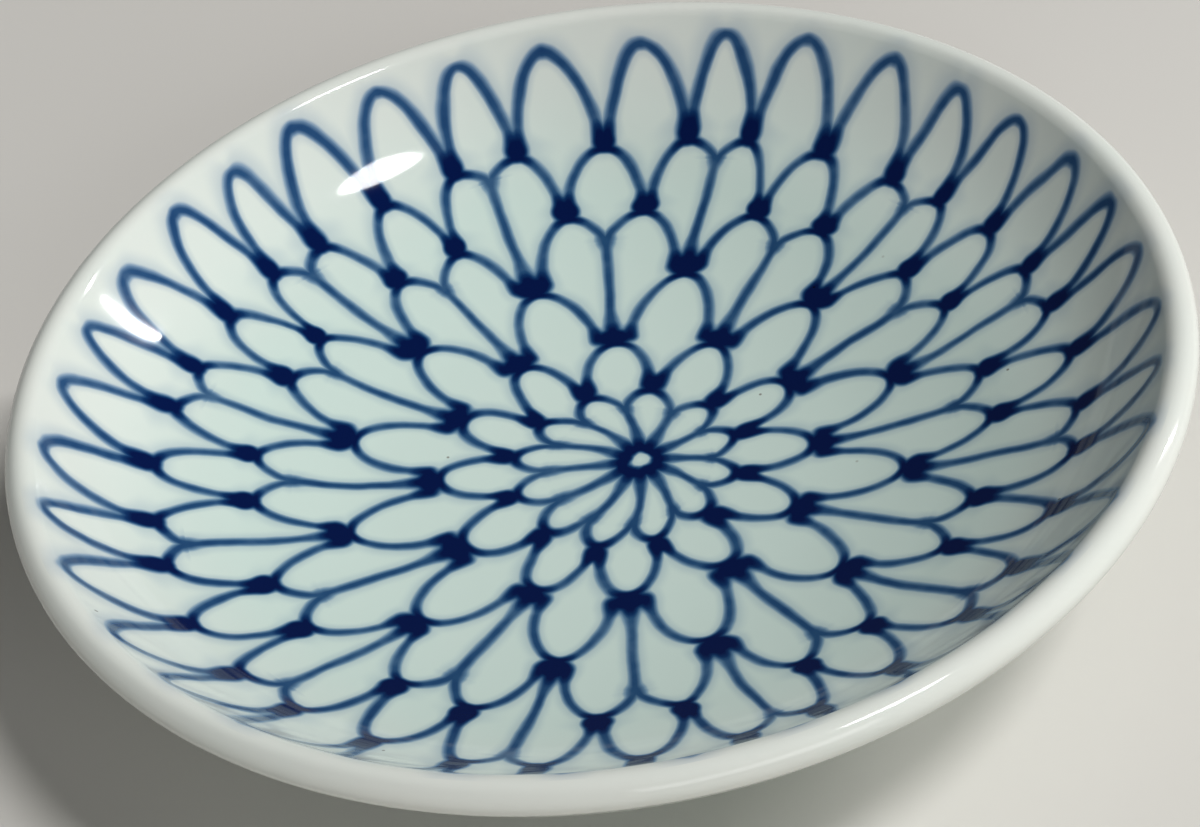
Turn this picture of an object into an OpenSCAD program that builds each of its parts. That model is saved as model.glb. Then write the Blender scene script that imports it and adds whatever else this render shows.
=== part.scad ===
// Soy sauce dish: a small footed saucer of thrown porcelain in a clear, faintly green glaze,
// painted inside in cobalt with a chrysanthemum of overlapping petals.
// Millimetres, +Z up. The origin is on the dish's axis, on the plane that it stands on.

/* [Dish] */
// Diameter over the rim
rim_d = 100; // [88:1:130]
// Height from the foot to the top of the lip
height = 22; // [19.5:0.5:32]
// Thickness of the rounded lip
lip_t = 3; // [2:0.1:4.5]
// Thickness of the floor at its middle, over the foot ring's seat
floor_t = 3.8; // [3:0.1:6]
// Radius of the floor's shallow curve
floor_curve = 150; // [100:5:300]
// Diameter at which the floor turns up into the wall
well_d = 59; // [50:1:66]

/* [Foot] */
// Outer diameter of the foot ring
foot_d = 53; // [44:1:60]
// Width of the foot ring
foot_w = 3.6; // [2.5:0.1:6]
// Height of the foot ring
foot_h = 2.8; // [2:0.1:4]
// Rounding of the ring's two lower edges
foot_round = 0.7; // [0.3:0.1:1]
// Height of the upright neck between the foot ring and the wall
neck_h = 1.3; // [0.6:0.1:2.5]
// Slope of the outer wall where it leaves the neck, in degrees
flare = 14; // [8:1:20]
// Height of the bare, wiped band at the bottom of the foot
bare_h = 1.1; // [0.8:0.1:1.8]

/* [Glaze] */
// Thickness of the glaze
glaze_t = 0.35; // [0.25:0.05:0.5]

/* [Brushwork] */
// Petals in each of the three inner rows
sectors = 12; // [8:1:14]
// Direction of the first petal, in degrees
first_angle = 9.5; // [0:0.5:30]
// How far the painter's centre lies off the dish's axis
painted_off = 1; // [0:0.1:1.5]
// How far the flower's eye lies off the dish's axis
eye_off = 2.6; // [0:0.1:3]
// Direction of the eye from the axis, in degrees
eye_angle = 18; // [0:1:360]
// Least bare margin between the outermost petal tips and the lip
painted_margin = 0.4; // [0.3:0.1:3]
// Width of a brush line
line_w = 0.66; // [0.4:0.02:0.8]
// Width of the pool of colour at a petal's tip
pool_w = 1.3; // [0.9:0.05:1.5]
// Radius of the ring at the flower's centre, at the middle of its line
eye_r = 1.7; // [1.4:0.1:2]
// Width of that ring's line
eye_w = 1.3; // [0.8:0.1:1.5]
// Thickness of the colour along the middle of a line
film_t = 0.06; // [0.03:0.01:0.1]

/* [Hidden] */
$fn = 240;

// Clear space under the colour, between neighbouring strokes, and between a stem and the arms beside it
film_gap = 0.06;
stroke_gap = 0.06;
stem_gap = 0.4;
// How far cutting shapes reach past what they cut
overrun = 8;

// The half section's driving points, as [radius, height]
lip_r = lip_t / 2;
lip_c = [rim_d / 2 - lip_r, height - lip_r];
floor_z = foot_h + floor_t;
well_r = well_d / 2;
foot_r = foot_d / 2;
neck_top = [foot_r, foot_h + neck_h];

// Inside, a floor arc about the axis runs into a wall arc that is tangent to it and to the lip
floor_c = [0, floor_z + floor_curve];
turn_tilt = asin(well_r / floor_curve);
turn_in = [-sin(turn_tilt), cos(turn_tilt)];
turn = floor_c - floor_curve * turn_in;
turn_to_lip = lip_c - turn;
wall_curve = (turn_to_lip * turn_to_lip - lip_r * lip_r) / (2 * (turn_to_lip * turn_in + lip_r));
wall_c = turn + wall_curve * turn_in;

// Outside, one arc leaves the neck at the flare and is tangent to the lip
neck_in = [-sin(flare), cos(flare)];
neck_to_lip = lip_c - neck_top;
back_curve = (neck_to_lip * neck_to_lip - lip_r * lip_r) / (2 * (neck_to_lip * neck_in - lip_r));
back_c = neck_top + back_curve * neck_in;

// Directions from the lip's centre to where the two wall arcs meet it
lip_in = (wall_c - lip_c) / norm(wall_c - lip_c);
lip_out = (lip_c - back_c) / norm(lip_c - back_c);
lip_in_r = lip_c[0] + lip_r * lip_in[0];

// The colour lies on the inside face, so it is set out from it and not in
film_under = -film_gap;
film_over = -film_gap - film_t;

// Petal tips, row by row, as shares of the painted radius
painted_r = lip_in_r - painted_margin - painted_off;
tip_shares = [0.231, 0.374, 0.549, 0.708, 0.87, 1];
tip_r = painted_r * tip_shares;
sector = 360 / sectors;
// Where paired petals spring from their stem, as shares of the way between two rows of tips
fork_4_share = 0.5;
fork_5_share = 0.65;
// Tips of the paired petals beside each third-row petal, as shares of a sector
pair_4_share = 0.31;
pair_5_share = 0.137;
// Half the width of a first-row petal at its foot, as a share of a sector, and how far its sides
// swell past that, as a share of it
petal_1_share = 0.25;
belly_1_share = 0.8;
// How each row's petals bow from tip to foot, as powers: 1 is a straight side and 2 a parabola
bows = [1.7, 1.5, 1.5, 1.65, 2.3, 2.3];
// Reach of a tip's pool along each arm of its petal, as a share of the arm
pool_share = 0.3;
// The hand's slow sway round the dish, as a share of a sector, and the angle where it is greatest
sway_share = 0.065;
sway_angle = 122;
// The hand's own unevenness, as a share of a sector, its waves in a turn and its step between rows
wander_share = 0.02;
wander_waves = 7;
wander_step = 131;
half_line = line_w / 2;
half_pool = pool_w / 2;
// Feet of the first row, clear of the eye and far enough out for all to stand side by side
from_1_r = max(eye_r + eye_w / 2 + stroke_gap, sectors * (line_w + stroke_gap) / PI);
arm_steps = 5;
eye_steps = 24;

porcelain_colour = "#eceee8";
foot_colour = "#d8cfbf";
glaze_colour = "#cfdad2";
cobalt_colour = "#1d3f86";

// Half sections, drawn in the plane of radius and height

// What lies right of the axis and below the cut across the lip, down to the ring's seat
module below_lip(seat_r) {
    inner = lip_c + overrun * lip_in;
    polygon([[0, foot_h], [seat_r, foot_h], [seat_r, neck_top[1]], [rim_d, neck_top[1]],
             lip_c + overrun * lip_out, lip_c, inner, [0, inner[1]]]);
}

// The hollow of the dish, grown outwards by inset
module hollow(inset) {
    reach = floor_curve + overrun;
    translate(wall_c) circle(wall_curve + inset);
    intersection() {
        translate(floor_c) circle(floor_curve + inset);
        polygon([floor_c, floor_c - [0, reach], floor_c - [0, reach] + [reach * tan(turn_tilt), 0]]);
    }
}

// The whole section above the foot ring, with both faces and the lip set in by inset
module section(inset) {
    seat_r = foot_r - inset;
    difference() {
        intersection() {
            union() {
                translate(back_c) circle(back_curve - inset);
                square([seat_r, height]);
            }
            below_lip(seat_r);
        }
        hollow(inset);
    }
    translate(lip_c) circle(lip_r - inset);
}

// The glaze all round the section, less the base
module glaze_area() {
    difference() {
        section(0);
        section(glaze_t);
    }
}

// The side of the lip's crest that faces the hollow, with the hollow's own glaze
module inner_side() {
    crest = [0, overrun];
    hollow(glaze_t);
    polygon([lip_c, lip_c + overrun * lip_in, lip_c + overrun * lip_in + crest, lip_c + crest]);
}

// The inside face at a radius, set in by inset: its height, and the cosine of its slope
function on_wall(r, inset) = r * floor_curve > well_r * (floor_curve + inset);
function inside_z(r, inset) = on_wall(r, inset)
    ? wall_c[1] - sqrt(pow(wall_curve + inset, 2) - pow(r - wall_c[0], 2))
    : floor_c[1] - sqrt(pow(floor_curve + inset, 2) - r * r);
function inside_cos(r, inset) = on_wall(r, inset)
    ? sqrt(1 - pow((r - wall_c[0]) / (wall_curve + inset), 2))
    : sqrt(1 - pow(r / (floor_curve + inset), 2));
function on_inside(p, inset) = [p[0], p[1], inside_z(norm(p), inset)];

// Brushwork, laid out in turns about the painter's centre

// A direction in plan
function way_of(angle) = [cos(angle), sin(angle)];
// The painter's centre, which runs from the eye to the rows' own centre along the first row
function centre_at(r) =
    let (by_eye_share = min(1, max(0, (tip_r[0] - r) / (tip_r[0] - from_1_r))))
    painted_off * (1 - by_eye_share) * way_of(0) + eye_off * by_eye_share * way_of(eye_angle);
// A place in plan from a radius and an angle about the painter's centre
function painted(r, angle) = centre_at(r) + r * way_of(angle);
// A tip's angle with the hand's unevenness, the same for every stroke that starts or ends there
function by_hand(angle, row) = angle
    + sway_share * sector * cos(2 * (angle - sway_angle))
    + wander_share * sector * sin(wander_waves * angle + wander_step * row);

// One ring of a stroke: two edges close over the inside face and a crest between them
function stroke_ring(p, way, half) =
    let (out = p / norm(p),
         round_way = [-out[1], out[0]],
         lean = inside_cos(norm(p), film_under),
         rise = way * out / lean,
         run = way * round_way,
         side = half * (rise * round_way - run * lean * out) / norm([rise, run]))
    [on_inside(p + side, film_under), on_inside(p - side, film_under), on_inside(p, film_over)];

// A stroke's rings from its places in plan and its half widths
function stroke(places, halves) = [for (i = [0 : len(places) - 1])
    let (a = places[max(i - 1, 0)], b = places[min(i + 1, len(places) - 1)])
    stroke_ring(places[i], (b - a) / norm(b - a), halves[i])];

// A petal from one foot over its tip to the other foot, each as [radius, angle]
function petal_place(foot, tip, t, bow, belly_share) =
    let (wide = t + belly_share * sin(180 * t))
    painted(tip[0] + (foot[0] - tip[0]) * pow(t, bow), tip[1] + (foot[1] - tip[1]) * wide);
function petal_half(t) = t < pool_share
    ? half_line + (half_pool - half_line) * pow(cos(90 * t / pool_share), 2)
    : half_line;
function petal(foot_a, tip, foot_b, bow, belly_share = 0) =
    let (turns = [for (i = [-arm_steps : arm_steps]) i / arm_steps])
    stroke([for (t = turns) petal_place(t < 0 ? foot_a : foot_b, tip, abs(t), bow, belly_share)],
           [for (t = turns) petal_half(abs(t))]);

// A straight stroke outwards along one angle
function stem(from_r, to_r, angle) =
    stroke([for (t = [0, 0.5, 1]) painted(from_r + (to_r - from_r) * t, angle)],
           [half_line, half_line, half_line]);

// The foot of an arm that springs beside the line through a tip, clear of what starts there too
function beside(r, angle, side, room) = [r, angle + side * (room + half_line) / r * 180 / PI];
function clear_of_tip(row) = tip_r[row - 1] + half_pool + half_line + stroke_gap;

// A stroke's faces, which close its ends, or join them where it is a loop
function tube_faces(rings, start, loop) = concat(
    [for (i = [0 : rings - (loop ? 1 : 2)], s = [0 : 2])
        let (a = start + 3 * i, b = start + 3 * ((i + 1) % rings), n = (s + 1) % 3)
        each [[a + s, a + n, b + n], [a + s, b + n, b + s]]],
    loop ? [] : [[start + 2, start + 1, start],
                 [start + 3 * rings - 3, start + 3 * rings - 2, start + 3 * rings - 1]]);

// All strokes of one row as separate films
module films(strokes, loop = false) {
    counts = [for (s = strokes) len(s)];
    starts = [for (i = 0, n = 0; i < len(counts); n = n + 3 * counts[i], i = i + 1) n];
    polyhedron([for (s = strokes, ring = s) each ring],
               [for (i = [0 : len(counts) - 1]) each tube_faces(counts[i], starts[i], loop)]);
}

// Angles of the sectors, and of each row's tips in one sector
turns = [for (i = [0 : sectors - 1]) first_angle + i * sector];
function tip_1(s) = by_hand(s, 1);
function tip_2(s) = by_hand(s + sector / 2, 2);
function tip_3(s) = by_hand(s, 3);
function tip_4(s, side) = by_hand(s + side * sector * pair_4_share, 4);
function tip_5(s, side) = by_hand(s + side * sector * pair_5_share, 5);
function tip_5_middle(s) = by_hand(s + sector / 2, 5);

// Stems run from a second-row or third-row tip to the fork of a pair
fork_4_r = tip_r[2] + (tip_r[3] - tip_r[2]) * fork_4_share;
fork_5_r = tip_r[3] + (tip_r[4] - tip_r[3]) * fork_5_share;
beside_stem = half_line + stem_gap;
beside_arm = stroke_gap / 2;
above_fork = half_line + stroke_gap;

// The fired clay: floor, wall and the core of the lip
module porcelain_body() {
    color(porcelain_colour) rotate_extrude() section(glaze_t);
}

// The turned ring that the dish stands on, with its two lower edges rounded
module foot_ring() {
    bare_w = foot_w - glaze_t;
    color(foot_colour) rotate_extrude() translate([foot_r - foot_w, 0]) {
        translate([foot_round, 0]) square([bare_w - 2 * foot_round, foot_h]);
        translate([0, foot_round]) square([bare_w, foot_h - foot_round]);
        for (x = [foot_round, bare_w - foot_round]) translate([x, foot_round]) circle(foot_round);
    }
}

// The glaze of the inside, from the middle up to the crest of the lip
module inner_glaze() {
    color(glaze_colour) rotate_extrude() intersection() {
        glaze_area();
        inner_side();
    }
}

// The glaze of the outside, from the crest of the lip down to the wiped band of the foot
module outer_glaze() {
    color(glaze_colour) rotate_extrude() {
        difference() {
            glaze_area();
            inner_side();
        }
        translate([foot_r - glaze_t, bare_h]) square([glaze_t, neck_top[1] - bare_h]);
    }
}

// The glaze of the base, inside the foot ring
module base_glaze() {
    color(glaze_colour) translate([0, 0, foot_h - glaze_t]) cylinder(h = glaze_t, r = foot_r - foot_w);
}

// The ring at the centre of the flower
module flower_eye() {
    step = 360 / eye_steps;
    color(cobalt_colour) films([[for (a = [0 : step : 360 - step])
        stroke_ring(centre_at(0) + eye_r * way_of(a), way_of(a + 90), eye_w / 2)]], loop = true);
}

// First row: closed petals round the eye
module petal_row_1() {
    spread = sector * petal_1_share;
    color(cobalt_colour) films([for (s = turns)
        petal([from_1_r, s - spread], [tip_r[0], tip_1(s)], [from_1_r, s + spread],
              bows[0], belly_1_share)]);
}

// Second row: petals that span from tip to tip of the first
module petal_row_2() {
    from_r = clear_of_tip(1);
    color(cobalt_colour) films([for (s = turns)
        petal(beside(from_r, tip_1(s), 1, beside_arm), [tip_r[1], tip_2(s)],
              beside(from_r, tip_1(s + sector), -1, beside_arm), bows[1])]);
}

// Third row: petals that span from tip to tip of the second
module petal_row_3() {
    from_r = clear_of_tip(2);
    color(cobalt_colour) films([for (s = turns)
        petal(beside(from_r, tip_2(s - sector), 1, beside_stem), [tip_r[2], tip_3(s)],
              beside(from_r, tip_2(s), -1, beside_stem), bows[2])]);
}

// Fourth row: a stem from each second-row tip, and a petal on each side of it
module petal_row_4() {
    from_r = clear_of_tip(3);
    color(cobalt_colour) films(concat(
        [for (s = turns) stem(clear_of_tip(2), fork_4_r, tip_2(s))],
        [for (s = turns, side = [-1, 1])
            petal(beside(from_r, tip_3(s), side, beside_stem), [tip_r[3], tip_4(s, side)],
                  beside(fork_4_r + above_fork, tip_2(side < 0 ? s - sector : s), -side, beside_arm),
                  bows[3])]));
}

// Fifth row: a stem from each third-row tip with its pair, and a petal over each fourth-row pair
module petal_row_5() {
    from_r = clear_of_tip(4);
    color(cobalt_colour) films(concat(
        [for (s = turns) stem(clear_of_tip(3), fork_5_r, tip_3(s))],
        [for (s = turns, side = [-1, 1])
            petal(beside(fork_5_r + above_fork, tip_3(s), side, beside_arm), [tip_r[4], tip_5(s, side)],
                  beside(from_r, tip_4(s, side), -side, beside_arm), bows[4])],
        [for (s = turns)
            petal(beside(from_r, tip_4(s, 1), 1, beside_arm), [tip_r[4], tip_5_middle(s)],
                  beside(from_r, tip_4(s + sector, -1), -1, beside_arm), bows[4])]));
}

// Sixth row: narrow pointed petals up the wall, from tip to tip of the fifth
module petal_row_6() {
    from_r = clear_of_tip(5);
    function span(a, b) = petal(beside(from_r, a, 1, beside_arm), [tip_r[5], (a + b) / 2],
                                beside(from_r, b, -1, beside_arm), bows[5]);
    color(cobalt_colour) films([for (s = turns) each [
        span(tip_5(s, -1), tip_5(s, 1)),
        span(tip_5(s, 1), tip_5_middle(s)),
        span(tip_5_middle(s), tip_5(s + sector, -1))]]);
}

porcelain_body();
foot_ring();
inner_glaze();
outer_glaze();
base_glaze();
flower_eye();
petal_row_1();
petal_row_2();
petal_row_3();
petal_row_4();
petal_row_5();
petal_row_6();
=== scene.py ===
# %% [markdown]
# # A painted soy sauce dish
# The real dish is a small footed saucer of porcelain, thrown on a wheel, painted with cobalt by hand and
# dipped in a clear, faintly green glaze. This lesson dresses its plain solids: the coat of glaze, the
# bare foot and the brushwork. The solids are loaded first and never moved, so every piece is made where
# its solid already is.

# %% The solids and their box
import math

import bmesh
import bpy
from mathutils import Color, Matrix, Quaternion, Vector


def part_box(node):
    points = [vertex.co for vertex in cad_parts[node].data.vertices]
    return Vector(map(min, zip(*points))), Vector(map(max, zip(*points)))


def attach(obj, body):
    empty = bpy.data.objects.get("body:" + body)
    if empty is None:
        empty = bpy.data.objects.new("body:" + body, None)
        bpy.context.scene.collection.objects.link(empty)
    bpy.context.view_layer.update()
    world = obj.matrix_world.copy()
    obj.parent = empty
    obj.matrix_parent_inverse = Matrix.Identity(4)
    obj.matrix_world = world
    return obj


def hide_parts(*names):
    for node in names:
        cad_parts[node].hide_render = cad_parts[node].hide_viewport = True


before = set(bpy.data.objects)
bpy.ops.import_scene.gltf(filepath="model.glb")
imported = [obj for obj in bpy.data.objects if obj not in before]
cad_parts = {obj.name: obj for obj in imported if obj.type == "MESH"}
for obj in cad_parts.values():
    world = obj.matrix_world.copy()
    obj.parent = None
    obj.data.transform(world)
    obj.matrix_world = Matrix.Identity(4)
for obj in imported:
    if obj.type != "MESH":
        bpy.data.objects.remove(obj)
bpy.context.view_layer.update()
mm = 0.001
print("solids:", ", ".join(sorted(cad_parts)))

# %% [markdown]
# ## The photograph's camera
# A dish seen from the wrong height looks like another dish, because its rim opens or closes. The camera
# could be moved by eye until the rim fits. Here its distance, height and roll are named instead: it is a
# long lens close to the table, 40 degrees above it, and the hand that held it was turned a little, so the
# far rim climbs to the right.

# %% Camera
camera_height = math.radians(40.1)
camera_distance = 243.5 * mm
camera_roll = math.radians(10.5)
lens_length = 87
sensor_width = 36
rim_middle = Vector((0, 0, 20.5 * mm))
aim_below = 5.33 * mm
aim_left = 0.24 * mm

towards_camera = Vector((0, -math.cos(camera_height), math.sin(camera_height)))
up_in_picture = Vector((0, math.sin(camera_height), math.cos(camera_height)))
aim = rim_middle - aim_below * up_in_picture - Vector((aim_left, 0, 0))
lens = bpy.data.cameras.new("camera")
lens.lens = lens_length
lens.sensor_width = sensor_width
lens.sensor_fit = "HORIZONTAL"
lens.clip_start = mm
camera = bpy.data.objects.new("camera", lens)
camera.location = rim_middle + camera_distance * towards_camera
camera.rotation_mode = "QUATERNION"
level_look = (aim - camera.location).to_track_quat("-Z", "Y")
camera.rotation_quaternion = level_look @ Quaternion((0, 0, 1), -camera_roll)
bpy.context.scene.collection.objects.link(camera)
bpy.context.scene.camera = camera
print("camera", round((camera.location - aim).length / mm), "mm from its aim")

# %% [markdown]
# ## The potter's template
# A thrown dish has one section, turned once round. The section could be traced as many points, but it is
# really a few arcs that run into each other without a kink: a shallow floor, a rounder wall, and the
# circle of the lip. Their sizes come from the solids' boxes, and the rest are the few lengths that a box
# doesn't show.

# %% Sizes of the section
outer_low, outer_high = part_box("outer_glaze")
ring_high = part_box("foot_ring")[1]
base_low, base_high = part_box("base_glaze")
rim_r, height, bare_h = outer_high.x, outer_high.z, outer_low.z
ring_r, ring_h = ring_high.x, ring_high.z
base_r, base_z = base_high.x, base_low.z
glaze_t = base_high.z - base_low.z
floor_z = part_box("inner_glaze")[0].z + glaze_t
foot_r = ring_r + glaze_t
lip_r = 1.5 * mm
floor_curve = 150 * mm
well_r = 29.5 * mm
neck_h = 1.3 * mm
flare = math.radians(14)
print(f"rim {rim_r / mm:.1f}, height {height / mm:.1f}, floor {floor_z / mm:.2f} mm")
print(f"foot {foot_r / mm:.2f}, coat {glaze_t / mm:.2f} mm")

# %% Centres of the arcs
lip_c = Vector((rim_r - lip_r, 0, height - lip_r))
floor_c = Vector((0, 0, floor_z + floor_curve))
turn_tilt = math.asin(well_r / floor_curve)
turn_in = Vector((-math.sin(turn_tilt), 0, math.cos(turn_tilt)))
turn = floor_c - floor_curve * turn_in
turn_to_lip = lip_c - turn
wall_curve = (turn_to_lip.length_squared - lip_r ** 2) / (2 * (turn_to_lip.dot(turn_in) + lip_r))
wall_c = turn + wall_curve * turn_in
wall_tilt = math.atan2(lip_c.x - wall_c.x, wall_c.z - lip_c.z)

neck_top = Vector((foot_r, 0, ring_h + neck_h))
neck_in = Vector((-math.sin(flare), 0, math.cos(flare)))
neck_to_lip = lip_c - neck_top
back_curve = (neck_to_lip.length_squared - lip_r ** 2) / (2 * (neck_to_lip.dot(neck_in) - lip_r))
back_c = neck_top + back_curve * neck_in
back_tilt = math.atan2(lip_c.x - back_c.x, back_c.z - lip_c.z)
print(f"wall arc {wall_curve / mm:.1f} mm, outer arc {back_curve / mm:.1f} mm")

# %% [markdown]
# ## Drawing and turning
# Blender's spin does both jobs of the wheel. Spinning one vertex about a point of the section draws an
# arc, and spinning the finished section about the dish's axis turns it into a body. A full turn merges
# its last ring with its first, and the points on the axis are merged too, so that the body is closed
# before its faces are turned out.

# %% Helpers for the wheel
turn_steps = 256
merge_reach = 0.0005 * mm
sharp_edge = math.radians(40)


def arc_on(bm, end, centre, angle, steps):
    """Draws an arc of the section on from its end, about a centre, and returns the new end."""
    made = bmesh.ops.spin(bm, geom=[end], cent=centre, axis=(0, -1, 0), angle=angle, steps=steps)
    return next(part for part in made["geom_last"] if isinstance(part, bmesh.types.BMVert))


def line_on(bm, end, radius, z):
    """Draws a straight line of the section on from its end, and returns the new end."""
    made = bmesh.ops.extrude_vert_indiv(bm, verts=[end])
    made["verts"][0].co = (radius, 0, z)
    return made["verts"][0]


def turn_once(bm):
    """Turns the section once round the dish's axis and points its faces outwards."""
    section = bm.verts[:] + bm.edges[:]
    bmesh.ops.spin(bm, geom=section, cent=(0, 0, 0), axis=(0, 0, 1), angle=math.tau, steps=turn_steps,
                   use_merge=True)
    bmesh.ops.remove_doubles(bm, verts=bm.verts, dist=merge_reach)
    bmesh.ops.recalc_face_normals(bm, faces=bm.faces)


def add_piece(name, bm, nodes):
    """Makes the turned body a piece of the dish that stands for the given solids."""
    mesh = bpy.data.meshes.new(name)
    bm.to_mesh(mesh)
    bm.free()
    mesh.shade_smooth()
    mesh.set_sharp_from_angle(angle=sharp_edge)
    made = bpy.data.objects.new(name, mesh)
    bpy.context.scene.collection.objects.link(made)
    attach(made, "root")
    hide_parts(*nodes)
    print(name, "has", sum(len(face.vertices) - 2 for face in mesh.polygons), "triangles")
    return made


# %% [markdown]
# ## Glaze of the inside
# The glaze is a coat of glass about a third of a millimetre thick. It could be left to the clay's own
# surface as a shiny finish, but a coat of its own has a real edge and can be lifted off to look at. Its
# section runs out along the floor, the wall and the lip to the crest, and back again one coat lower.
# While it melted it ran down the wall and pooled where the floor turns up, so it is thicker there and
# thinner above. That can't be seen as a step, but it moves the place where the near wall starts to mirror
# the far rim. Close to the crest the steps are very fine, so that the gloss runs over into the outer coat
# without a seam.

# %% Inner glaze
brushwork = ["flower_eye"] + [f"petal_row_{row}" for row in range(1, 7)]
crest_tilt = math.radians(4)
floor_steps, wall_steps, lip_steps, crest_steps = 30, 60, 16, 8
hidden_steps = 12
# Radius and extra thickness of the coat, both in mm
glaze_run = [(20, 0), (33, 0.42), (41.5, -0.28), (47, 0)]

inner = bmesh.new()
end = inner.verts.new((0, 0, floor_z))
end = arc_on(inner, end, floor_c, turn_tilt, floor_steps)
end = arc_on(inner, end, wall_c, wall_tilt - turn_tilt, wall_steps)
for vert in inner.verts:
    for (low, low_extra), (high, high_extra) in zip(glaze_run, glaze_run[1:]):
        along = (vert.co.x / mm - low) / (high - low)
        if 0 < along <= 1:
            eased = (1 - math.cos(math.pi * along)) / 2
            vert.co.z += mm * (low_extra + (high_extra - low_extra) * eased)
end = arc_on(inner, end, lip_c, crest_tilt - wall_tilt, lip_steps)
end = arc_on(inner, end, lip_c, -crest_tilt, crest_steps)
end = line_on(inner, end, lip_c.x, height - glaze_t)
end = arc_on(inner, end, lip_c, wall_tilt, hidden_steps)
end = arc_on(inner, end, wall_c, turn_tilt - wall_tilt, hidden_steps)
end = arc_on(inner, end, floor_c, -turn_tilt, hidden_steps)
turn_once(inner)
inner_glaze = add_piece("inner_glaze_coat", inner, ["inner_glaze", *brushwork])

# %% [markdown]
# ## Glaze of the outside
# Outside, the coat runs from the crest over the lip and down the back of the dish. At the neck it pools,
# so the corner there is filled with a small round, and it ends above the table in a soft, uneven edge,
# where the potter wiped the foot. The finger's rings from throwing are still felt through it: they are a
# very shallow wave of the section, which fades at both ends.

# %% Outer glaze
pool_r = 1.2 * mm
roll_r = 0.28 * mm
pool_c = Vector((foot_r + pool_r, 0, 0))
pool_c.z = back_c.z - math.sqrt((back_curve + pool_r) ** 2 - (pool_c.x - back_c.x) ** 2)
pool_tilt = math.atan2(pool_c.x - back_c.x, back_c.z - pool_c.z)
under_r = back_curve - glaze_t
under_tilt = math.asin((ring_r - back_c.x) / under_r)
lip_turn = math.pi - back_tilt
back_steps, pool_steps, roll_steps = 96, 12, 6
ring_count, ring_deep = 6, 0.013 * mm
fine_count, fine_share = 2.3 * ring_count, 0.5
edge_sway, edge_count = 0.07 * mm, 4
ripple_count, ripple_share = 11, 0.7

outer = bmesh.new()
end = outer.verts.new((lip_c.x, 0, height))
end = arc_on(outer, end, lip_c, -crest_tilt, crest_steps)
end = arc_on(outer, end, lip_c, crest_tilt - lip_turn, 2 * lip_steps)
back_start = len(outer.verts)
end = arc_on(outer, end, back_c, pool_tilt - back_tilt, back_steps)
for step, vert in enumerate(outer.verts[:][back_start:], 1):
    along = step / back_steps
    wave = math.sin(ring_count * math.tau * along) + fine_share * math.sin(fine_count * math.tau * along)
    cut = ring_deep * math.sin(math.pi * along) * (1 + fine_share - wave)
    vert.co -= (vert.co - back_c).normalized() * cut
end = arc_on(outer, end, pool_c, math.pi / 2 - pool_tilt, pool_steps)
end = line_on(outer, end, foot_r, bare_h + roll_r)
end = arc_on(outer, end, Vector((foot_r - roll_r, 0, bare_h + roll_r)), -math.pi / 2, roll_steps)
end = line_on(outer, end, ring_r, bare_h)
end = line_on(outer, end, ring_r, back_c.z - under_r * math.cos(under_tilt))
end = arc_on(outer, end, back_c, back_tilt - under_tilt, hidden_steps)
end = arc_on(outer, end, lip_c, lip_turn, hidden_steps)
outer.edges.new((end, outer.verts[:][0]))
turn_once(outer)
for vert in outer.verts:
    if vert.co.z < bare_h + 1.5 * roll_r:
        around = math.atan2(vert.co.y, vert.co.x)
        ripple = ripple_share * math.sin(ripple_count * around + 1)
        vert.co.z += edge_sway * (math.sin(edge_count * around) + ripple)
outer_glaze = add_piece("outer_glaze_coat", outer, ["outer_glaze"])

# %% [markdown]
# ## Foot ring
# The foot is turned from the leather-hard clay and left bare, because glaze would weld it to the kiln
# shelf. It is a square ring with its two lower edges rounded by a wet sponge.

# %% Foot ring
foot_round = 0.7 * mm
round_steps = 8
ring_in = base_r

foot = bmesh.new()
end = start = foot.verts.new((ring_in, 0, ring_h))
end = line_on(foot, end, ring_in, foot_round)
end = arc_on(foot, end, Vector((ring_in + foot_round, 0, foot_round)), math.pi / 2, round_steps)
end = line_on(foot, end, ring_r - foot_round, 0)
end = arc_on(foot, end, Vector((ring_r - foot_round, 0, foot_round)), math.pi / 2, round_steps)
end = line_on(foot, end, ring_r, ring_h)
foot.edges.new((end, start))
turn_once(foot)
foot_ring = add_piece("bare_foot_ring", foot, ["foot_ring"])

# %% [markdown]
# ## Glaze of the base
# Inside the ring the base is glazed too. The glaze runs a little way down the ring's inner side before it
# stops, because a liquid rounds off a corner.

# %% Base glaze
climb_r = 0.7 * mm
climb_steps = 8

base = bmesh.new()
end = base.verts.new((0, 0, base_high.z))
end = line_on(base, end, base_r, base_high.z)
end = line_on(base, end, base_r, base_z - climb_r)
end = arc_on(base, end, Vector((base_r - climb_r, 0, base_z - climb_r)), math.pi / 2, climb_steps)
end = line_on(base, end, 0, base_z)
turn_once(base)
base_glaze = add_piece("base_glaze_coat", base, ["base_glaze"])

# %% [markdown]
# ## Sums that become nodes
# The brushwork is colour and not shape, so it belongs in the glaze's material. It could be a picture, but
# a picture has a fixed number of dots. Drawn by formulas it stays sharp at any size. Each Math node holds
# one small sum, and hundreds of them are hard to read in a row, so this little class lets a formula be
# written as a plain sum.

# %% A field over the surface


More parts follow.
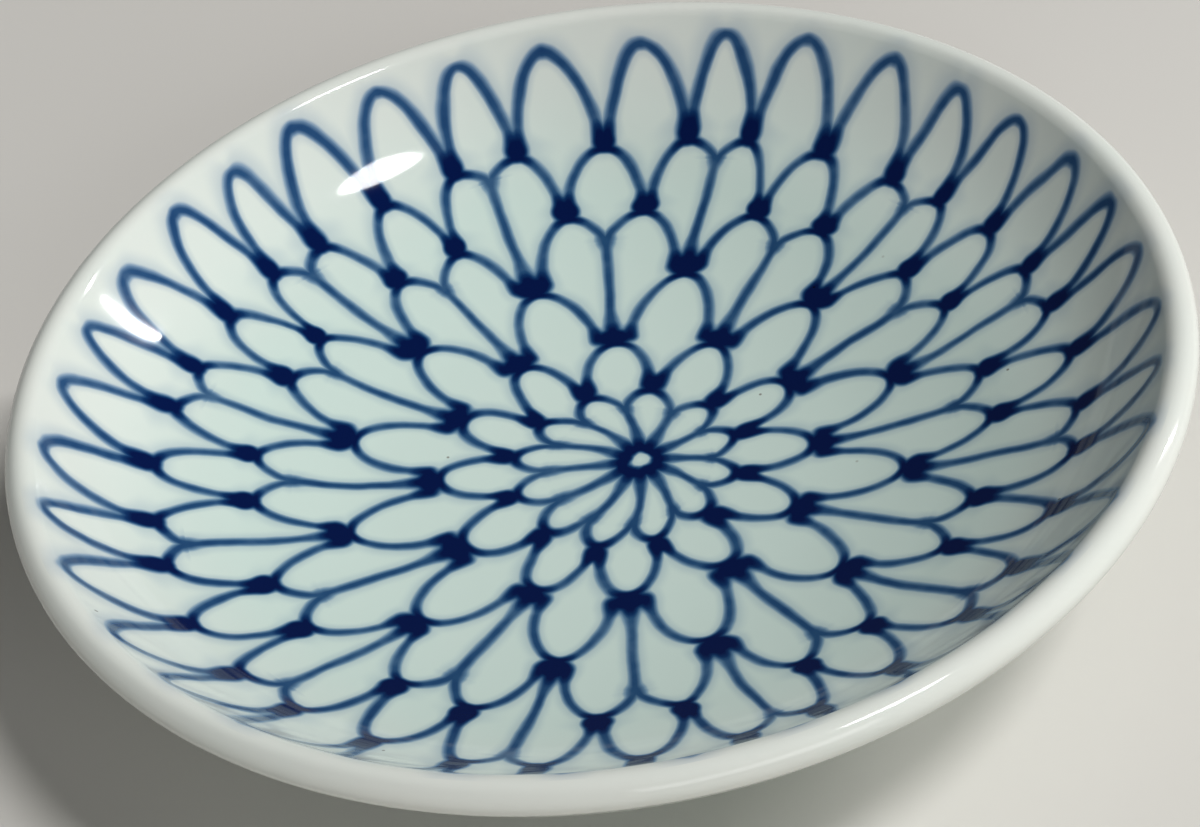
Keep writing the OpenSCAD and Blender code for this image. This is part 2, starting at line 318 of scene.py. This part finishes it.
class Field:
    """A number that changes over the surface. Sums with it add Math nodes to its tree."""

    def __init__(self, tree, socket):
        self.tree = tree
        self.socket = socket

    def math(self, operation, *others):
        """Adds one Math node, with this field as its first value."""
        node = self.tree.nodes.new("ShaderNodeMath")
        node.operation = operation
        for place, value in enumerate((self, *others)):
            if isinstance(value, Field):
                self.tree.links.new(value.socket, node.inputs[place])
            else:
                node.inputs[place].default_value = value
        return Field(self.tree, node.outputs[0])

    def __add__(self, other):
        return self.math("ADD", other)

    def __sub__(self, other):
        return self.math("SUBTRACT", other)

    def __rsub__(self, other):
        return self.math("MULTIPLY_ADD", -1, other)

    def __mul__(self, other):
        return self.math("MULTIPLY", other)

    def __truediv__(self, other):
        return self.math("DIVIDE", other)

    def __pow__(self, other):
        return self.math("POWER", other)

    def __abs__(self):
        return self.math("ABSOLUTE")

    def at_least(self, other):
        return self.math("MAXIMUM", other)

    def melt(self, other, reach):
        """The smaller of two, run together where they come within reach."""
        return self.math("SMOOTH_MIN", other, reach)

    def rise(self, low, high):
        """0 up to low, 1 from high on, and a soft slope between."""
        node = self.tree.nodes.new("ShaderNodeMapRange")
        node.interpolation_type = "SMOOTHSTEP"
        self.tree.links.new(self.socket, node.inputs["Value"])
        node.inputs["From Min"].default_value = low
        node.inputs["From Max"].default_value = high
        return Field(self.tree, node.outputs["Result"])

    def fall(self, low, high):
        """1 up to low, 0 from high on, and a soft slope between."""
        return 1 - self.rise(low, high)


print("a field knows", len([name for name in vars(Field) if not name.startswith("__i")]), "sums")

# %% Helpers for materials


def new_finish(name):
    """A new material, its node tree and its shader."""
    finish = bpy.data.materials.new(name)
    finish.use_nodes = True
    return finish, finish.node_tree, finish.node_tree.nodes["Principled BSDF"]


def chip(code):
    """A colour chip such as cfdad2 as the linear values that a shader takes."""
    shares = [int(code[place:place + 2], 16) / 255 for place in (0, 2, 4)]
    return [*Color(shares).from_srgb_to_scene_linear(), 1]


class Place:
    """Where each point is: x, y, z and the distance from the axis in millimetres, and its normal's z."""

    def __init__(self, tree):
        coordinates = tree.nodes.new("ShaderNodeTexCoord")
        places = tree.nodes.new("ShaderNodeSeparateXYZ")
        normals = tree.nodes.new("ShaderNodeSeparateXYZ")
        self.tree = tree
        self.vector = coordinates.outputs["Object"]
        tree.links.new(self.vector, places.inputs[0])
        tree.links.new(coordinates.outputs["Normal"], normals.inputs[0])
        self.x, self.y, self.z = (Field(tree, socket) / mm for socket in places.outputs)
        self.radius = (self.x * self.x + self.y * self.y).math("SQRT")
        self.up = Field(tree, normals.outputs["Z"])

    def clouds(self, size, draw, detail=1.5):
        """Soft clouds of about that size in metres, from -0.5 to 0.5. Each draw gives other clouds."""
        noise = self.tree.nodes.new("ShaderNodeTexNoise")
        noise.noise_dimensions = "4D"
        self.tree.links.new(self.vector, noise.inputs["Vector"])
        noise.inputs["W"].default_value = draw
        noise.inputs["Scale"].default_value = 1 / size
        noise.inputs["Detail"].default_value = detail
        return Field(self.tree, noise.outputs["Fac"]) - 0.5


def blend_of(tree, share, first, second, way="MIX"):
    """The first colour where the share is 0 and the blend where it is 1. A colour is a chip or a socket."""
    mix = tree.nodes.new("ShaderNodeMix")
    mix.data_type = "RGBA"
    mix.blend_type = way
    inputs = {socket.identifier: socket for socket in mix.inputs}
    if isinstance(share, Field):
        tree.links.new(share.socket, inputs["Factor_Float"])
    else:
        inputs["Factor_Float"].default_value = share
    for key, colour in (("A_Color", first), ("B_Color", second)):
        if isinstance(colour, str):
            inputs[key].default_value = chip(colour)
        else:
            tree.links.new(colour, inputs[key])
    return next(socket for socket in mix.outputs if socket.identifier == "Result_Color")


# %% [markdown]
# ## Setting out the flower
# The painter divides the dish into twelve, by eye, round a centre that isn't quite the dish's own. Each
# sector is the same on both sides of its middle, so one half sector of 15 degrees is enough: the angle is
# folded there and back again, and every stroke in it appears 24 times. The hand's sway bends the angles
# in slow waves round the dish, which turn as the rows go out, and lets the rows slide a little in and
# out. Soft clouds push every line a little, and the eye of the flower sits off to one side, so the first
# row leans over to meet it.

# %% The painter's places
sectors = 12
half_sector = 180 / sectors
first_angle = 9.7
eye_off = (2.5, 0.75)
inner_off, outer_off = 1.0, 0.35
eye_reach, row_reach = 2.7, 10.6
inner_reach, outer_reach = 14, 46
# Each slow wave: how many go round, its size in degrees or mm, its start at the inner and the outer rows
sways = [(1, 1.5, 185, 265), (2, 1.8, 108, 126), (3, 0.75, 111, 111)]
sway_reach = (20, 44)
slide, slide_reach = (1, 0.45, 196, 64), (14, 34)
row_slip, slip_reach = 0.35, (7, 14)
hand_drift, drift_size = 2.6, 14 * mm
hand_shake, shake_size = 0.2, 2.2 * mm
eye_shake, eye_shake_size = 1.3, 1.6 * mm
weight_change, weight_size = 0.6, 5 * mm
outer_weight, weight_reach = 0.22, (36, 44)
least_lean = 0.2
degree = 180 / math.pi


class Flower:
    """Radius in mm, folded angle in degrees and the wall's lean, all about the painter's centre."""

    def __init__(self, tree):
        self.place = place = Place(tree)
        x = place.x + place.clouds(drift_size, 1) * hand_drift + place.clouds(shake_size, 3) * hand_shake
        y = place.y + place.clouds(drift_size, 2) * hand_drift + place.clouds(shake_size, 4) * hand_shake
        out = ((x - inner_off) ** 2 + y * y).math("SQRT")
        by_eye = out.fall(eye_reach, row_reach)
        x = x - inner_off + out.rise(inner_reach, outer_reach) * (inner_off - outer_off)
        x = x - by_eye * (eye_off[0] - inner_off)
        y = y - by_eye * eye_off[1]
        self.angle = y.math("ARCTAN2", x)
        set_out = (x * x + y * y).math("SQRT").at_least(0.01)
        turn = self.angle * degree - first_angle
        for sway in sways:
            turn = turn - self.wave(set_out.rise(*sway_reach), *sway)
        self.turn = turn.math("PINGPONG", half_sector)
        slip = self.wave(set_out.rise(*slide_reach), *slide) - row_slip
        self.r = set_out + slip * set_out.rise(*slip_reach)
        self.eye = self.r + place.clouds(eye_shake_size, 16) * eye_shake
        self.lean = abs(place.up).at_least(least_lean)
        self.width = self.r / degree
        uneven = place.clouds(weight_size, 15) * weight_change + 1
        self.weight = uneven * (self.r.rise(*weight_reach) * outer_weight + 1)

    def wave(self, outward, count, size, inner_start, outer_start):
        """A slow wave round the dish, whose start in degrees turns from the inner rows to the outer ones."""
        start = outward * math.radians(outer_start - inner_start) + math.radians(inner_start)
        return ((self.angle - start) * count).math("COSINE") * size


print("one half sector is", half_sector, "degrees")

# %% [markdown]
# ## One brush line
# A side of a petal starts at the tip and swings round to its foot, like a quarter of an oval. Two powers
# shape it: a low point makes a pointed tip, and a full belly brings the side straight down to its foot.
# What the material needs is the distance from each point to that curve, so the formula's error is divided
# by how fast it changes over the surface. Past the tip and past the foot the distance grows again, which
# rounds the ends of the stroke. The brush is pressed down at the foot, so the stroke is wider there.

# %% Distance to a side, a stem and a pool
half_line = 0.455
press = 0.75
press_from = 0.72
stem_press = 3.2


def side(flower, tip, foot, point, belly):
    """Distance from a petal's side, in half widths of a line. Tip and foot are (degrees, mm)."""
    span, drop = foot[0] - tip[0], tip[1] - foot[1]
    across = (flower.turn - tip[0]) / span
    share = across.at_least(0.001)
    left = ((flower.r - foot[1]) / drop).at_least(0.001)
    miss = share ** point + left ** belly - 1
    steep = share ** (point - 1) * (point / abs(span)) / flower.width
    level = left ** (belly - 1) * (belly / drop) * flower.lean
    away = miss / (steep * steep + level * level).math("SQRT")
    before = (across * -abs(span)).at_least(0) * flower.width
    beyond = (foot[1] - flower.r).at_least(0)
    pressed = left.fall(0, 1 - press_from) * press + 1
    return (away * away + before * before + beyond * beyond).math("SQRT") / pressed / half_line


def stem(flower, turn, from_r, to_r):
    """Distance from a straight stem along one angle, in half widths of a line."""
    away = (flower.turn - turn) * flower.width
    beyond = (abs(flower.r - (from_r + to_r) / 2) - (to_r - from_r) / 2).at_least(0)
    pressed = flower.r.fall(from_r, from_r + stem_press) * press + 1
    return (away * away + beyond * beyond).math("SQRT") / pressed / half_line


def pool(flower, turn, r, half_w, half_h):
    """Distance past the edge of a pool of colour, in half widths of a line, where 1 is its edge."""
    away = (flower.turn - turn) * flower.width / half_w
    along = (flower.r - r) / flower.lean / half_h
    edge = min(half_w, half_h) / half_line
    return (away * away + along * along).math("SQRT") * edge + (1 - edge)


print("a line is", 2 * half_line, "mm wide")

# %% [markdown]
# ## The petals, row by row
# Each row springs from the tips of the row before. The first row stands round the eye, the second and
# third fill the gaps between the tips, the fourth sets a pair of petals on each stem, the fifth three
# petals to a sector, and the sixth climbs the wall as narrow points. A pool of thick colour lies wherever
# strokes start, because there the full brush first touches the clay.

# %% Strokes of one half sector
line_run, pool_run = 0.9, 0.9
eye_r, eye_half = 1.5, 0.65
middle, edge = 0, half_sector


def brush_lines(flower):
    """Distance to the nearest brush line, run together where lines meet."""
    lines = [
        # The first row with its stems, the second row and the third
        side(flower, (middle, 9.9), (edge, 7.4), 1.9, 1.05), stem(flower, edge, 1.9, 7.4),
        side(flower, (edge, 16), (2.2, 10.8), 2.05, 1.2),
        side(flower, (middle, 24), (10.2, 16.9), 1.8, 1.45),
        # The fourth row: two petals on each stem
        side(flower, (9.4, 31.5), (2.6, 25.3), 1.7, 1.35), side(flower, (9.4, 31.5), (edge, 28.5), 1.7, 1.2),
        stem(flower, edge, 17.4, 28.5),
        # The fifth row: two petals on a stem and one between stems
        side(flower, (4.2, 38.8), (8.8, 32.5), 1.8, 1.45), side(flower, (4.2, 38.8), (middle, 37), 1.8, 1.2),
        stem(flower, middle, 25.6, 37),
        side(flower, (edge, 38.9), (9.9, 32.5), 2.1, 1.4),
        # The sixth row: narrow points up the wall
        side(flower, (middle, 46.3), (4, 39.8), 2, 1.25),
        side(flower, (9.4, 46.3), (4.5, 39.8), 2, 1.25), side(flower, (9.4, 46.3), (14.6, 39.8), 2, 1.25),
    ]
    nearest = abs(flower.eye - eye_r) / half_line + (1 - eye_half / half_line)
    for line in lines:
        nearest = nearest.melt(line, line_run)
    return nearest / flower.weight


def brush_pools(flower):
    """Distance to the nearest pool of thick colour, where strokes start."""
    nearest = pool(flower, middle, 10.7, 0.9, 1)
    for turn, r, half_w, half_h in [
        (edge, 16.8, 1.6, 1.05), (middle, 25, 1.6, 1.2), (9.3, 32.3, 1.15, 1.1),
        (4.2, 39.5, 0.95, 1.2), (edge, 39.6, 0.95, 1.2),
    ]:
        nearest = nearest.math("MINIMUM", pool(flower, turn, r, half_w, half_h))
    return nearest


print("rows set out for", sectors, "sectors")

# %% [markdown]
# ## Cobalt
# Cobalt goes on as a wash under the glaze. Where it is thin the fired line is a clear mid blue with a
# soft, bled edge, and where it pools it turns navy. So the strokes give one number, the strength of the
# wash. A colour ramp turns that into a tint, and the tint dims the glaze's own colour, as a stain in
# glass does.

# %% Cobalt under the glaze
wash_chips = [
    (0, "ffffff"), (0.17, "abbeda"), (0.32, "7493bb"), (0.55, "31598c"), (0.73, "103871"), (1, "021853"),
]
line_wash, pool_wash, halo_wash = 0.485, 0.53, 0.08
line_edge, pool_edge, halo_edge = (0.15, 1.45), (0.3, 3.8), (0.6, 3.2)
fine_streak, fine_size = 0.2, 1.6 * mm
broad_streak, broad_size = 0.3, 9 * mm


def cobalt(tree, glaze_colour):
    """The glaze's colour with the brushwork showing through it."""
    flower = Flower(tree)
    lines = brush_lines(flower)
    pools = brush_pools(flower)
    place = flower.place
    streaks = place.clouds(fine_size, 5) * fine_streak + place.clouds(broad_size, 6) * broad_streak
    ink = lines.melt(pools, pool_run)
    deep = pools.math("MINIMUM", (flower.r - eye_r) / half_line).fall(*pool_edge)
    wash = ink.fall(*line_edge) * (deep * pool_wash + line_wash + streaks) + ink.fall(*halo_edge) * halo_wash
    ramp = tree.nodes.new("ShaderNodeValToRGB")
    while len(ramp.color_ramp.elements) < len(wash_chips):
        ramp.color_ramp.elements.new(0.5)
    for element, (strength, code) in zip(ramp.color_ramp.elements, wash_chips):
        element.position = strength
        element.color = chip(code)
    tree.links.new(wash.socket, ramp.inputs["Fac"])
    return blend_of(tree, 1, glaze_colour, ramp.outputs["Color"], "MULTIPLY")


print("cobalt from", wash_chips[0][1], "to", wash_chips[-1][1])

# %% [markdown]
# ## The glaze
# Clear glaze looks greener where it lies thick, on the floor and in the neck, and whiter where it ran
# thin over the lip. Its gloss is nearly a mirror, but never quite flat: very low waves bend the
# reflections. The mirror is set weaker than that of real glass, because in the photograph the dark
# strokes hardly mirror the pale wall across from them. A few specks of iron burn through as tiny dark
# dots. The same recipe serves the inside, the outside and the base.

# %% Glaze
thick_glaze, thin_glaze, speck_colour = "c8d9d1", "d9dbd4", "77736a"
thin_reach, thin_share = (31, 52), 0.95
patch_change, patch_size = 0.4, 20 * mm
mottle_change, mottle_size = 0.12, 3 * mm
speck_cell, speck_lots, speck_edge, speck_share = 7 * mm, (0.93, 0.94), (0.012, 0.024), 0.8
mirror_index = 1.33
gloss_rough, gloss_change, gloss_size = 0.07, 0.05, 6 * mm
wave_high, wave_size = 0.03, 11 * mm
ripple_high, ripple_size = 0.0015, 2 * mm


def glaze_colours(tree, place):
    """The glaze's own colour, greener where it is thick."""
    thin = place.radius.rise(*thin_reach) * thin_share + place.clouds(patch_size, 7) * patch_change
    thin = (thin + place.clouds(mottle_size, 8) * mottle_change).at_least(0)
    colour = blend_of(tree, thin, thick_glaze, thin_glaze)
    cells = tree.nodes.new("ShaderNodeTexVoronoi")
    cells.voronoi_dimensions = "2D"
    cells.inputs["Scale"].default_value = 1 / speck_cell
    tree.links.new(place.vector, cells.inputs["Vector"])
    lots = tree.nodes.new("ShaderNodeSeparateColor")
    tree.links.new(cells.outputs["Color"], lots.inputs["Color"])
    chosen = Field(tree, lots.outputs["Red"]).rise(*speck_lots)
    speck = Field(tree, cells.outputs["Distance"]).fall(*speck_edge) * chosen * speck_share
    return blend_of(tree, speck, colour, speck_colour)


def glaze(name, painted):
    """Glossy glaze, with the brushwork under it where it is painted."""
    finish, tree, shader = new_finish(name)
    place = Place(tree)
    colour = glaze_colours(tree, place)
    if painted:
        colour = cobalt(tree, colour)
    tree.links.new(colour, shader.inputs["Base Color"])
    shader.inputs["IOR"].default_value = mirror_index
    gloss = place.clouds(gloss_size, 9) * gloss_change + gloss_rough
    tree.links.new(gloss.socket, shader.inputs["Roughness"])
    waves = place.clouds(wave_size, 10) * wave_high + place.clouds(ripple_size, 11) * ripple_high
    bump = tree.nodes.new("ShaderNodeBump")
    bump.inputs["Distance"].default_value = mm
    tree.links.new(waves.socket, bump.inputs["Height"])
    tree.links.new(bump.outputs["Normal"], shader.inputs["Normal"])
    print(name, "has", len(tree.nodes), "nodes")
    return finish


inner_glaze.data.materials.append(glaze("painted_glaze", painted=True))
outer_glaze.data.materials.append(glaze("plain_glaze", painted=False))
base_glaze.data.materials.append(outer_glaze.data.materials[0])

# %% [markdown]
# ## Bare clay
# Unglazed porcelain is matt, a warm off-white, with fine grit and the rings of the turning tool. The foot
# is a little darker where it has stood on tables. The body has the same clay, and it is hidden by its
# glaze.

# %% Clay
grit_size, stain_size = 0.4 * mm, 7 * mm
worn_high, worn_share, grit_share = 1.2, 0.5, 0.4
stain_reach = (-0.3, 0.9)
clay_rough, rough_change = 0.7, 0.2
ring_high, grit_high = 0.012, 0.05


def clay(name, light, dark, ring_pitch):
    """Matt fired clay with grit and turning rings."""
    finish, tree, shader = new_finish(name)
    place = Place(tree)
    rings = (place.radius * (math.tau / ring_pitch)).math("SINE")
    grit = place.clouds(grit_size, 12, detail=4)
    stain = place.clouds(stain_size, 13) + place.z.fall(0, worn_high) * worn_share + grit * grit_share
    colour = blend_of(tree, stain.rise(*stain_reach), light, dark)
    tree.links.new(colour, shader.inputs["Base Color"])
    rough = grit * rough_change + clay_rough
    tree.links.new(rough.socket, shader.inputs["Roughness"])
    bump = tree.nodes.new("ShaderNodeBump")
    bump.inputs["Distance"].default_value = mm
    relief = rings * ring_high + grit * grit_high
    tree.links.new(relief.socket, bump.inputs["Height"])
    tree.links.new(bump.outputs["Normal"], shader.inputs["Normal"])
    print(name, "has", len(tree.nodes), "nodes")
    return finish


foot_ring.data.materials.append(clay("bare_foot", "e0d9cb", "b7a88f", 0.45))
body_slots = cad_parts["porcelain_body"].data.materials
body_slots.clear()
body_slots.append(clay("porcelain", "eceee8", "dfe0d6", 0.8))

# %% [markdown]
# ## Floor and light
# The dish stands on a plain pale table top. A round window high on the right gives the white patch on the
# far left wall, and a slender one low on the right, a little behind the dish, gives the thin crescent at
# the left rim. A wide, dim panel beside the camera and the room's soft light fill the rest. The patches
# say where the windows stand. How bright they are was found by lighting the dish with one at a time, and
# they stay low enough for the pale glaze to keep its colour.

# %% Table top
table_half = 1.5
table_grain = 60 * mm
table_rough = 0.75
table = bmesh.new()
bmesh.ops.create_grid(table, x_segments=1, y_segments=1, size=table_half)
table_mesh = bpy.data.meshes.new("table_top")
table.to_mesh(table_mesh)
table.free()
table_top = bpy.data.objects.new("table_top", table_mesh)
bpy.context.scene.collection.objects.link(table_top)
table_finish, table_tree, table_shader = new_finish("table_top")
table_shade = Place(table_tree).clouds(table_grain, 14) + 0.5
table_colour = blend_of(table_tree, table_shade, "cfccc6", "d6d3cd")
table_tree.links.new(table_colour, table_shader.inputs["Base Color"])
table_shader.inputs["Roughness"].default_value = table_rough
table_mesh.materials.append(table_finish)
print("table top", 2 * table_half, "m wide")

# %% Lights


def window(name, azimuth, elevation, distance, width, tall, brightness, lean=0, shape="ELLIPSE"):
    """A soft light that looks at the dish. Azimuth 0 is +X, and brightness 1 is a white wall's."""
    light = bpy.data.lights.new(name, "AREA")
    light.shape = shape
    light.size, light.size_y = width, tall
    area = width * tall * (math.pi / 4 if shape == "ELLIPSE" else 1)
    light.energy = brightness * math.pi * area
    turned, raised = math.radians(azimuth), math.radians(elevation)
    level = math.cos(raised)
    way = Vector((math.cos(turned) * level, math.sin(turned) * level, math.sin(raised)))
    lamp = bpy.data.objects.new(name, light)
    lamp.location = rim_middle + distance * way
    lamp.rotation_mode = "QUATERNION"
    lamp.rotation_quaternion = way.to_track_quat("Z", "Y") @ Quaternion((0, 0, 1), math.radians(lean))
    bpy.context.scene.collection.objects.link(lamp)
    print(name, round(light.energy, 2), "W")


window("high_window", azimuth=-32, elevation=61, distance=1.5, width=0.35, tall=0.32, brightness=46)
window("low_window", azimuth=20.5, elevation=25, distance=1.8, width=0.055, tall=0.56, brightness=205,
       lean=-18)
window("side_panel", azimuth=-75, elevation=24, distance=1.8, width=1.24, tall=0.68, brightness=4,
       shape="RECTANGLE")
room_brightness = 0.08
room = bpy.data.worlds.new("room")
room.use_nodes = True
room.node_tree.nodes["Background"].inputs["Color"].default_value = chip("eef2f4")
room.node_tree.nodes["Background"].inputs["Strength"].default_value = room_brightness
bpy.context.scene.world = room
bpy.context.scene.view_settings.view_transform = "Standard"

# %% [markdown]
# The dressed dish has to be as large as its solids and no larger.
